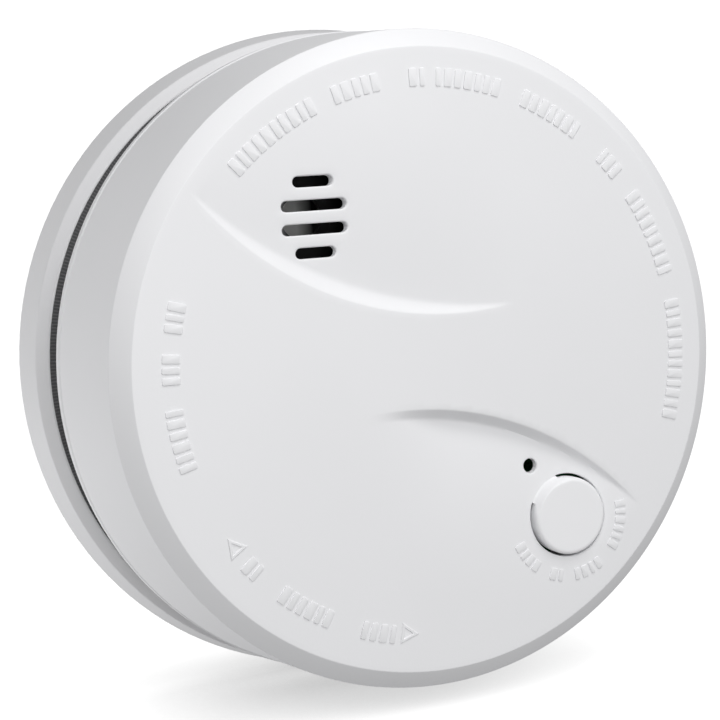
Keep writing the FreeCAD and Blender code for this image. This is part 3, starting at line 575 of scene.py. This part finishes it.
def rounded_block(x, y, turn, width, height, r=0.3):
    """The outline of a rounded rectangle turned by an angle in degrees."""
    points = []
    for sx, sy, start in ((1, 1, 0), (-1, 1, 90), (-1, -1, 180), (1, -1, 270)):
        for i in range(5):
            a = math.radians(start + 22.5 * i)
            u = sx * (width / 2 - r) + r * math.cos(a)
            v = sy * (height / 2 - r) + r * math.sin(a)
            points.append((u, v))
    c = math.cos(math.radians(turn))
    s = math.sin(math.radians(turn))
    return [(x + u * c - v * s, y + u * s + v * c) for u, v in points]


def block_row(bm, radius, start, end, height=block_height, x=0.0, y=0.0, scale=1.0):
    """A group of blocks along an arc from one angle to another."""
    way = 1 if end > start else -1
    span = math.radians(abs(end - start)) * radius
    used = 0.0
    i = int(abs(start)) % len(block_widths)
    while True:
        width = block_widths[i % len(block_widths)] * scale
        if used + width > span:
            break
        a = start + way * math.degrees((used + width / 2) / radius)
        px = x + radius * math.cos(math.radians(a))
        py = y + radius * math.sin(math.radians(a))
        raised(bm, rounded_block(px, py, a - 90, width, height, 0.22))
        used += width + block_gap * scale
        i += 1


def inset(points, distance):
    """A closed convex outline moved inwards by a distance."""
    moved = []
    for i, here in enumerate(points):
        before = Vector(points[i - 1])
        after = Vector(points[(i + 1) % len(points)])
        here = Vector(here)
        a = (before - here).normalized()
        b = (after - here).normalized()
        half = a.angle(b) / 2
        moved.append(tuple(here + (a + b).normalized() * (distance / math.sin(half))))
    return moved


def arrow(bm, points, stroke=0.5):
    """A hollow triangle raised on the face: a strip with sloping sides along its three edges."""
    slope = 0.12
    rings = []
    for distance, lift in ((-0.03, -0.12), (0.0, 0.03), (slope, relief_rise), (stroke - slope, relief_rise),
                           (stroke, 0.03), (stroke + 0.03, -0.12)):
        rings.append([bm.verts.new((x, y, face_height(x, y) + lift)) for x, y in inset(points, distance)])
    for first, second in zip(rings, rings[1:] + rings[:1]):
        bridge(bm, first, second)


def triangle_at(radius, angle, way, size=2.9):
    """A triangle on an arc that points along it, clockwise for way -1."""
    a = math.radians(angle)
    along = (-math.sin(a) * way, math.cos(a) * way)
    out = (math.cos(a), math.sin(a))
    x = radius * out[0]
    y = radius * out[1]
    tip = (x + along[0] * size / 2, y + along[1] * size / 2)
    back = [(x - along[0] * size / 2 + out[0] * k, y - along[1] * size / 2 + out[1] * k)
            for k in (size * 0.55, -size * 0.55)]
    return [tip] + back


def relief_marks(material):
    """Plain raised blocks in groups, and two hollow direction arrows."""
    bm = bmesh.new()
    for radius, groups in face_rows:
        for start, end in groups:
            block_row(bm, radius, start, end)
    for start, end in button_rows:
        block_row(bm, button_row_r, start, end, 1.9, *BUTTON, 0.85)
    for radius, angle, way in arrows:
        arrow(bm, triangle_at(radius, angle, way))
    add_piece("relief_marks", to_mesh(bm, "relief_marks", 30.0), "head", material)


# ---- materials ----------------------------------------------------------------------------------
def new_material(name):
    """A node material; returns (material, nodes, links, principled shader, object coordinates)."""
    material = bpy.data.materials.new(name)
    material.use_nodes = True
    nodes = material.node_tree.nodes
    links = material.node_tree.links
    shader = nodes["Principled BSDF"]
    coordinates = nodes.new("ShaderNodeTexCoord").outputs["Object"]
    return material, nodes, links, shader, coordinates


def noise(nodes, links, vector, size_mm, detail=3.0):
    """Noise whose blotches are about this many millimetres across."""
    texture = nodes.new("ShaderNodeTexNoise")
    texture.inputs["Scale"].default_value = 1.0 / (size_mm * MM)
    texture.inputs["Detail"].default_value = detail
    links.new(vector, texture.inputs["Vector"])
    return texture.outputs["Fac"]


def spread(nodes, links, source, low, high):
    """A factor turned into a value between low and high."""
    node = nodes.new("ShaderNodeMapRange")
    node.inputs["To Min"].default_value = low
    node.inputs["To Max"].default_value = high
    links.new(source, node.inputs["Value"])
    return node.outputs["Result"]


def bump(nodes, links, shader, height, distance_mm, strength=1.0, edge_mm=0.0):
    """Bump from a height factor, over edges that look rounded by a radius."""
    node = nodes.new("ShaderNodeBump")
    if edge_mm > 0:
        rounded = nodes.new("ShaderNodeBevel")
        rounded.inputs["Radius"].default_value = edge_mm * MM
        links.new(rounded.outputs["Normal"], node.inputs["Normal"])
    node.inputs["Distance"].default_value = distance_mm * MM
    node.inputs["Strength"].default_value = strength
    links.new(height, node.inputs["Height"])
    links.new(node.outputs["Normal"], shader.inputs["Normal"])


def two_tone(nodes, links, factor, first, second):
    """A mix of two colours by a factor."""
    node = nodes.new("ShaderNodeMix")
    node.data_type = "RGBA"
    node.inputs["A"].default_value = (*first, 1)
    node.inputs["B"].default_value = (*second, 1)
    links.new(factor, node.inputs["Factor"])
    return node.outputs["Result"]


def moulded(name, colour, roughness=0.5, grain_mm=0.35, depth_mm=0.006, tint=0.03, edge_mm=0.0):
    """Moulded plastic: a slight tint variation, uneven gloss and a fine spark-eroded grain."""
    material, nodes, links, shader, place = new_material(name)
    shade_off = tuple(c * (1 - tint) for c in colour)
    links.new(two_tone(nodes, links, noise(nodes, links, place, 18.0), colour, shade_off),
              shader.inputs["Base Color"])
    links.new(spread(nodes, links, noise(nodes, links, place, 4.0), roughness - 0.05, roughness + 0.05),
              shader.inputs["Roughness"])
    bump(nodes, links, shader, noise(nodes, links, place, grain_mm, 2.0), depth_mm, edge_mm=edge_mm)
    shader.inputs["IOR"].default_value = 1.53
    return material


def metal(name, colour, roughness=0.3, grain_mm=0.3, depth_mm=0.004):
    """Plated or rolled metal with a fine grain."""
    material, nodes, links, shader, place = new_material(name)
    shader.inputs["Metallic"].default_value = 1.0
    darker = tuple(c * 0.82 for c in colour)
    links.new(two_tone(nodes, links, noise(nodes, links, place, 3.0), colour, darker),
              shader.inputs["Base Color"])
    links.new(spread(nodes, links, noise(nodes, links, place, 1.2), roughness - 0.08, roughness + 0.08),
              shader.inputs["Roughness"])
    bump(nodes, links, shader, noise(nodes, links, place, grain_mm), depth_mm)
    return material


def resin(name, colour, clear=0.6, roughness=0.12):
    """Tinted cast resin."""
    material, nodes, links, shader, place = new_material(name)
    lighter = tuple(min(c * 1.3, 1.0) for c in colour)
    links.new(two_tone(nodes, links, noise(nodes, links, place, 2.0), colour, lighter),
              shader.inputs["Base Color"])
    links.new(spread(nodes, links, noise(nodes, links, place, 0.8), roughness - 0.04, roughness + 0.06),
              shader.inputs["Roughness"])
    shader.inputs["Transmission Weight"].default_value = clear
    shader.inputs["IOR"].default_value = 1.5
    bump(nodes, links, shader, noise(nodes, links, place, 1.0), 0.004)
    return material


def axis_value(nodes, links, place, axis):
    """One coordinate, in metres."""
    node = nodes.new("ShaderNodeSeparateXYZ")
    links.new(place, node.inputs["Vector"])
    return node.outputs[axis]


def calculate(nodes, links, operation, first, second=None):
    """A math node on sockets or numbers."""
    node = nodes.new("ShaderNodeMath")
    node.operation = operation
    for socket, value in zip(node.inputs, (first, second)):
        if value is None:
            continue
        if isinstance(value, (int, float)):
            socket.default_value = value
        else:
            links.new(value, socket)
    return node.outputs[0]


def painted_light_and_shade(name, left, right, x_mm, blend_mm):
    """Moulded plastic with painted light and shade, changing from lit to shaded at an x position."""
    material, nodes, links, shader, place = new_material(name)
    share = nodes.new("ShaderNodeMapRange")
    share.inputs["From Min"].default_value = (x_mm - blend_mm) * MM
    share.inputs["From Max"].default_value = (x_mm + blend_mm) * MM
    links.new(axis_value(nodes, links, place, "X"), share.inputs["Value"])
    links.new(two_tone(nodes, links, share.outputs["Result"], left, right), shader.inputs["Base Color"])
    links.new(spread(nodes, links, noise(nodes, links, place, 3.0), 0.45, 0.55), shader.inputs["Roughness"])
    shader.inputs["Specular IOR Level"].default_value = 0.15
    bump(nodes, links, shader, noise(nodes, links, place, 0.35), 0.006)
    return material


def woven(name, thread, gap, pitch_mm=0.9, metallic=0.0, round_centre=(0.0, 0.0), bump_mm=0.15,
          turns=600.0):
    """Woven screen round a vertical axis of the face: threads over dark gaps."""
    material, nodes, links, shader, place = new_material(name)
    x = calculate(nodes, links, "SUBTRACT", axis_value(nodes, links, place, "X"), round_centre[0] * MM)
    z = calculate(nodes, links, "SUBTRACT", axis_value(nodes, links, place, "Z"), round_centre[1] * MM)
    depth = axis_value(nodes, links, place, "Y")
    angle = calculate(nodes, links, "ARCTAN2", z, x)
    around = calculate(nodes, links, "SINE", calculate(nodes, links, "MULTIPLY", angle, turns))
    wave = 2 * math.pi / (pitch_mm * MM)
    along = calculate(nodes, links, "SINE", calculate(nodes, links, "MULTIPLY", depth, wave))
    height = calculate(nodes, links, "MAXIMUM", around, along)
    lit = calculate(nodes, links, "GREATER_THAN", height, 0.25)
    links.new(two_tone(nodes, links, lit, gap, thread), shader.inputs["Base Color"])
    shader.inputs["Metallic"].default_value = metallic
    shader.inputs["Roughness"].default_value = 0.6
    bump(nodes, links, shader, height, bump_mm)
    return material


def board_mask(name):
    """Green solder mask over copper tracks, with bare pads."""
    material, nodes, links, shader, place = new_material(name)
    tracks = nodes.new("ShaderNodeTexBrick")
    tracks.inputs["Scale"].default_value = 1 / (6 * MM)
    tracks.inputs["Mortar Size"].default_value = 0.05
    tracks.inputs["Color1"].default_value = (0, 0, 0, 1)
    tracks.inputs["Color2"].default_value = (0, 0, 0, 1)
    tracks.inputs["Mortar"].default_value = (1, 1, 1, 1)
    turned = nodes.new("ShaderNodeMapping")
    turned.inputs["Rotation"].default_value = (math.pi / 2, 0, 0)
    links.new(place, turned.inputs["Vector"])
    links.new(turned.outputs["Vector"], tracks.inputs["Vector"])
    links.new(two_tone(nodes, links, tracks.outputs["Color"], (0.015, 0.16, 0.05), (0.05, 0.30, 0.10)),
              shader.inputs["Base Color"])
    links.new(spread(nodes, links, noise(nodes, links, place, 2.0), 0.25, 0.4), shader.inputs["Roughness"])
    bump(nodes, links, shader, tracks.outputs["Color"], 0.03)
    return material


def banded(name, body, bands, row_z_mm, axis="Z"):
    """Lacquered body with colour bands across its length."""
    material, nodes, links, shader, place = new_material(name)
    value = axis_value(nodes, links, place, axis)
    colour = None
    for offset, tone in bands:
        for row in row_z_mm:
            away = calculate(nodes, links, "ABSOLUTE",
                             calculate(nodes, links, "SUBTRACT", value, (row + offset) * MM))
            here = calculate(nodes, links, "LESS_THAN", away, 0.32 * MM)
            mix = nodes.new("ShaderNodeMix")
            mix.data_type = "RGBA"
            mix.inputs["B"].default_value = (*tone, 1)
            if colour is None:
                mix.inputs["A"].default_value = (*body, 1)
            else:
                links.new(colour, mix.inputs["A"])
            links.new(here, mix.inputs["Factor"])
            colour = mix.outputs["Result"]
    links.new(colour, shader.inputs["Base Color"])
    links.new(spread(nodes, links, noise(nodes, links, place, 1.0), 0.25, 0.4), shader.inputs["Roughness"])
    bump(nodes, links, shader, noise(nodes, links, place, 0.6), 0.01)
    return material


def jacket(name):
    """The battery's printed jacket: black, with a copper-coloured end."""
    material, nodes, links, shader, place = new_material(name)
    low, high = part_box("battery_case")
    limit = low[0] + (high[0] - low[0]) * 0.68
    value = axis_value(nodes, links, place, "X")
    here = calculate(nodes, links, "GREATER_THAN", value, limit)
    links.new(two_tone(nodes, links, here, (0.012, 0.012, 0.014), (0.55, 0.27, 0.10)),
              shader.inputs["Base Color"])
    links.new(spread(nodes, links, noise(nodes, links, place, 5.0), 0.22, 0.34), shader.inputs["Roughness"])
    shader.inputs["Metallic"].default_value = 0.6
    bump(nodes, links, shader, noise(nodes, links, place, 1.5), 0.01)
    return material


def paper(name):
    """A blank paper label."""
    material, nodes, links, shader, place = new_material(name)
    fibres = noise(nodes, links, place, 0.8)
    links.new(two_tone(nodes, links, fibres, (0.86, 0.86, 0.84), (0.80, 0.80, 0.78)),
              shader.inputs["Base Color"])
    shader.inputs["Roughness"].default_value = 0.7
    bump(nodes, links, shader, noise(nodes, links, place, 0.3), 0.01)
    return material


# from a resistor's middle to the outside of its leads
resistor_reach = 5.25


def make_materials():
    """One material for each slot of the record.

    horn_grey and brass_disc are toned to match what shows through the sound slots, as painted light
    on their left and painted shade on their right. They are not the record's colours, and brass_disc
    doesn't look like brass.
    """
    chamber = centre_of("chamber_screen")
    low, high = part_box("resistors")
    rows = (low[2] / MM + resistor_reach, high[2] / MM - resistor_reach)
    stripes = ((-2.3, (0.25, 0.08, 0.03)), (-1.1, (0.02, 0.02, 0.02)), (0.1, (0.35, 0.02, 0.02)),
               (2.3, (0.45, 0.30, 0.06)))
    return {
        "white_shell": moulded("white_shell", (0.838, 0.84, 0.856), 0.5),
        "white_inner": moulded("white_inner", (0.80, 0.80, 0.815), 0.38, edge_mm=0.35),
        "button_plastic": moulded("button_plastic", (0.885, 0.887, 0.903), 0.45),
        "black_mesh": woven("black_mesh", (0.12, 0.12, 0.125), (0.07, 0.07, 0.072), 0.5, bump_mm=0.05),
        "board_green": board_mask("board_green"),
        "black_plastic": moulded("black_plastic", (0.018, 0.018, 0.018), 0.45),
        "steel_mesh": woven("steel_mesh", (0.5, 0.5, 0.5), (0.02, 0.02, 0.02), 0.5, 1.0, chamber),
        "screw_steel": metal("screw_steel", (0.62, 0.63, 0.65), 0.28),
        "emitter_resin": resin("emitter_resin", (0.20, 0.12, 0.45)),
        "diode_resin": resin("diode_resin", (0.05, 0.04, 0.06), 0.3),
        "tin_plate": metal("tin_plate", (0.72, 0.72, 0.70), 0.35),
        # horn_grey and brass_disc carry painted light on their left and painted shade on their right
        "horn_grey": painted_light_and_shade("horn_grey", (0.75, 0.75, 0.76), (0.006, 0.006, 0.006), HORN[0] - 3.0, 0.9),
        "brass_disc": painted_light_and_shade("brass_disc", (0.98, 0.98, 0.97), (0.02, 0.02, 0.02), HORN[0] + 2.4, 1.3),
        "ceramic": metal("ceramic", (0.75, 0.75, 0.72), 0.5),
        "foam": moulded("foam", (0.02, 0.02, 0.022), 0.85, 0.5, 0.08),
        "sleeve_blue": moulded("sleeve_blue", (0.02, 0.05, 0.16), 0.25),
        "sleeve_black": moulded("sleeve_black", (0.015, 0.015, 0.018), 0.25),
        "ferrite": moulded("ferrite", (0.05, 0.05, 0.055), 0.6),
        "copper_wire": metal("copper_wire", (0.65, 0.25, 0.10), 0.3),
        "resistor_body": banded("resistor_body", (0.62, 0.46, 0.26), stripes, rows),
        "diode_glass": resin("diode_glass", (0.60, 0.20, 0.08), 0.4),
        "capacitor_tan": moulded("capacitor_tan", (0.55, 0.26, 0.05), 0.35),
        "lamp_red": resin("lamp_red", (0.65, 0.02, 0.02), 0.5),
        "battery_jacket": jacket("battery_jacket"),
        "battery_plate": moulded("battery_plate", (0.02, 0.02, 0.02), 0.5),
        "nickel": metal("nickel", (0.78, 0.76, 0.70), 0.2),
        "flap_red": moulded("flap_red", (0.55, 0.02, 0.015), 0.3),
        "label_paper": paper("label_paper"),
    }


def dress_nodes(materials):
    """Gives each CAD node the material of its slot."""
    for row in frame["record"]["subparts"]:
        node = frame["nodes"][row["node"]]
        node.data.materials.clear()
        node.data.materials.append(materials[row["material_slot"]])


# ---- studio -------------------------------------------------------------------------------------
camera_azimuth = -22.91
camera_elevation = 5.21
camera_roll = -3.83
camera_distance = 297.3
camera_target = (4.9, -2.5, 0.1)
camera_lens = 87.0
# the room's brightness towards each side, by axis and sign
room_light = {(0, "MAXIMUM"): 0.52, (0, "MINIMUM"): 0.05, (1, "MAXIMUM"): 0.25, (1, "MINIMUM"): 0.84,
              (2, "MAXIMUM"): 0.10, (2, "MINIMUM"): 0.19}
# each light's angle to the right of the face, its height as an angle, distance, size, power and whether
# it shows in reflections
lights = {"key": (18, 60, 450, 180, 0.77, True), "fill": (-30, 30, 450, 180, 0.60, True),
          "side": (-127, -22, 450, 180, 1.36, False)}
# the floor's glow, which paints its shadow, from full painted shadow to open, how far the painted
# shadow reaches in metres, and the direction in which the floor looks for what shades it, as an angle to
# the right of the face and a height
floor_glow = (0.05, 1.05)
floor_shade_distance = 0.022
floor_shade_from = (12, 18)
floor_drop = 0.0001


def direction(turn, rise):
    """A unit vector at an angle to the right of the face and a height above it."""
    level = math.cos(math.radians(rise))
    return Vector((math.sin(math.radians(turn)) * level, -math.cos(math.radians(turn)) * level,
                   math.sin(math.radians(rise))))


def add_camera():
    """The camera, to the left of the face and a little above its middle, and slightly rolled."""
    azimuth = math.radians(camera_azimuth)
    back = direction(camera_azimuth, camera_elevation)
    right = Vector((math.cos(azimuth), math.sin(azimuth), 0))
    up = back.cross(right)
    turn = Matrix.Rotation(math.radians(camera_roll), 3, back)
    right = turn @ right
    up = turn @ up
    data = bpy.data.cameras.new("camera")
    data.lens = camera_lens
    data.sensor_width = 36.0
    data.clip_start = 0.01
    camera = bpy.data.objects.new("camera", data)
    bpy.context.collection.objects.link(camera)
    target = bench(*camera_target)
    place = target + back * camera_distance * MM
    camera.matrix_world = Matrix.Translation(place) @ Matrix((right, up, back)).transposed().to_4x4()
    bpy.context.scene.camera = camera


def add_floor():
    """A wide pale floor that sweeps up all round; it lights nothing else. Its glow is dimmed near the part
    as a painted shadow, and it takes the lamps' shadows faintly.
    """
    bm = bmesh.new()
    run = [(0.5, 0.0), (2.0, 0.0)]
    run += [(2.0 + math.sin(math.radians(a)), 1.0 - math.cos(math.radians(a))) for a in range(6, 91, 6)]
    run += [(3.0, 5.0)]
    rings = lathe(bm, run, 96)
    fan(bm, bm.verts.new((0, 0, 0)), rings[0])
    bmesh.ops.recalc_face_normals(bm, faces=bm.faces)
    shade(bm)
    mesh = bpy.data.meshes.new("floor")
    bm.to_mesh(mesh)
    bm.free()
    floor = bpy.data.objects.new("floor", mesh)
    floor.location = (0, 0, cad_box[0][2] - floor_drop)
    bpy.context.collection.objects.link(floor)
    material, nodes, links, shader = new_material("pale_floor")[:4]
    shader.inputs["Base Color"].default_value = (0.22, 0.22, 0.22, 1)
    shader.inputs["Roughness"].default_value = 0.9
    shader.inputs["Specular IOR Level"].default_value = 0.0
    shader.inputs["Emission Color"].default_value = (1, 1, 1, 1)
    towards = nodes.new("ShaderNodeCombineXYZ")
    for socket, part in zip(towards.inputs, direction(*floor_shade_from)):
        socket.default_value = part
    # painted shadow: the glow is dimmed where something lies near the floor
    nearby = nodes.new("ShaderNodeAmbientOcclusion")
    nearby.inputs["Distance"].default_value = floor_shade_distance
    links.new(towards.outputs["Vector"], nearby.inputs["Normal"])
    links.new(spread(nodes, links, nearby.outputs["AO"], *floor_glow), shader.inputs["Emission Strength"])
    mesh.materials.append(material)
    floor.visible_diffuse = False
    floor.visible_glossy = False
    floor.visible_transmission = False
    floor.visible_shadow = False


def add_area(name, turn, rise, distance, size, power, glossy):
    """A soft square light aimed at the part from an angle to the right of and above its face."""
    data = bpy.data.lights.new(name, "AREA")
    data.size = size * MM
    data.energy = power
    light = bpy.data.objects.new(name, data)
    way = direction(turn, rise)
    light.location = bench(0, 0, 20) + way * distance * MM
    light.rotation_euler = (-way).to_track_quat("-Z", "Y").to_euler()
    light.visible_glossy = glossy
    bpy.context.collection.objects.link(light)


def add_world():
    """A soft room whose brightness towards each side is set by room_light."""
    world = bpy.data.worlds.new("studio")
    bpy.context.scene.world = world
    world.use_nodes = True
    nodes = world.node_tree.nodes
    links = world.node_tree.links
    way = nodes.new("ShaderNodeTexCoord").outputs["Generated"]
    split = nodes.new("ShaderNodeSeparateXYZ")
    links.new(way, split.inputs["Vector"])
    total = 0.0
    for (axis, operation), brightness in room_light.items():
        part = calculate(nodes, links, operation, split.outputs[axis], 0.0)
        square = calculate(nodes, links, "MULTIPLY", part, part)
        share = calculate(nodes, links, "MULTIPLY", square, brightness)
        total = calculate(nodes, links, "ADD", share, total)
    links.new(total, nodes["Background"].inputs["Strength"])
    nodes["Background"].inputs["Color"].default_value = (1, 1, 1, 1)


def main():
    """Dresses the CAD nodes, adds the smooth pieces and sets up the studio."""
    materials = make_materials()
    dress_nodes(materials)
    front_cover(materials["white_shell"])
    test_button(materials["button_plastic"])
    relief_marks(materials["white_shell"])
    add_camera()
    add_floor()
    add_world()
    for name, values in lights.items():
        add_area(name, *values)
    bpy.context.scene.view_settings.view_transform = "Standard"


main()
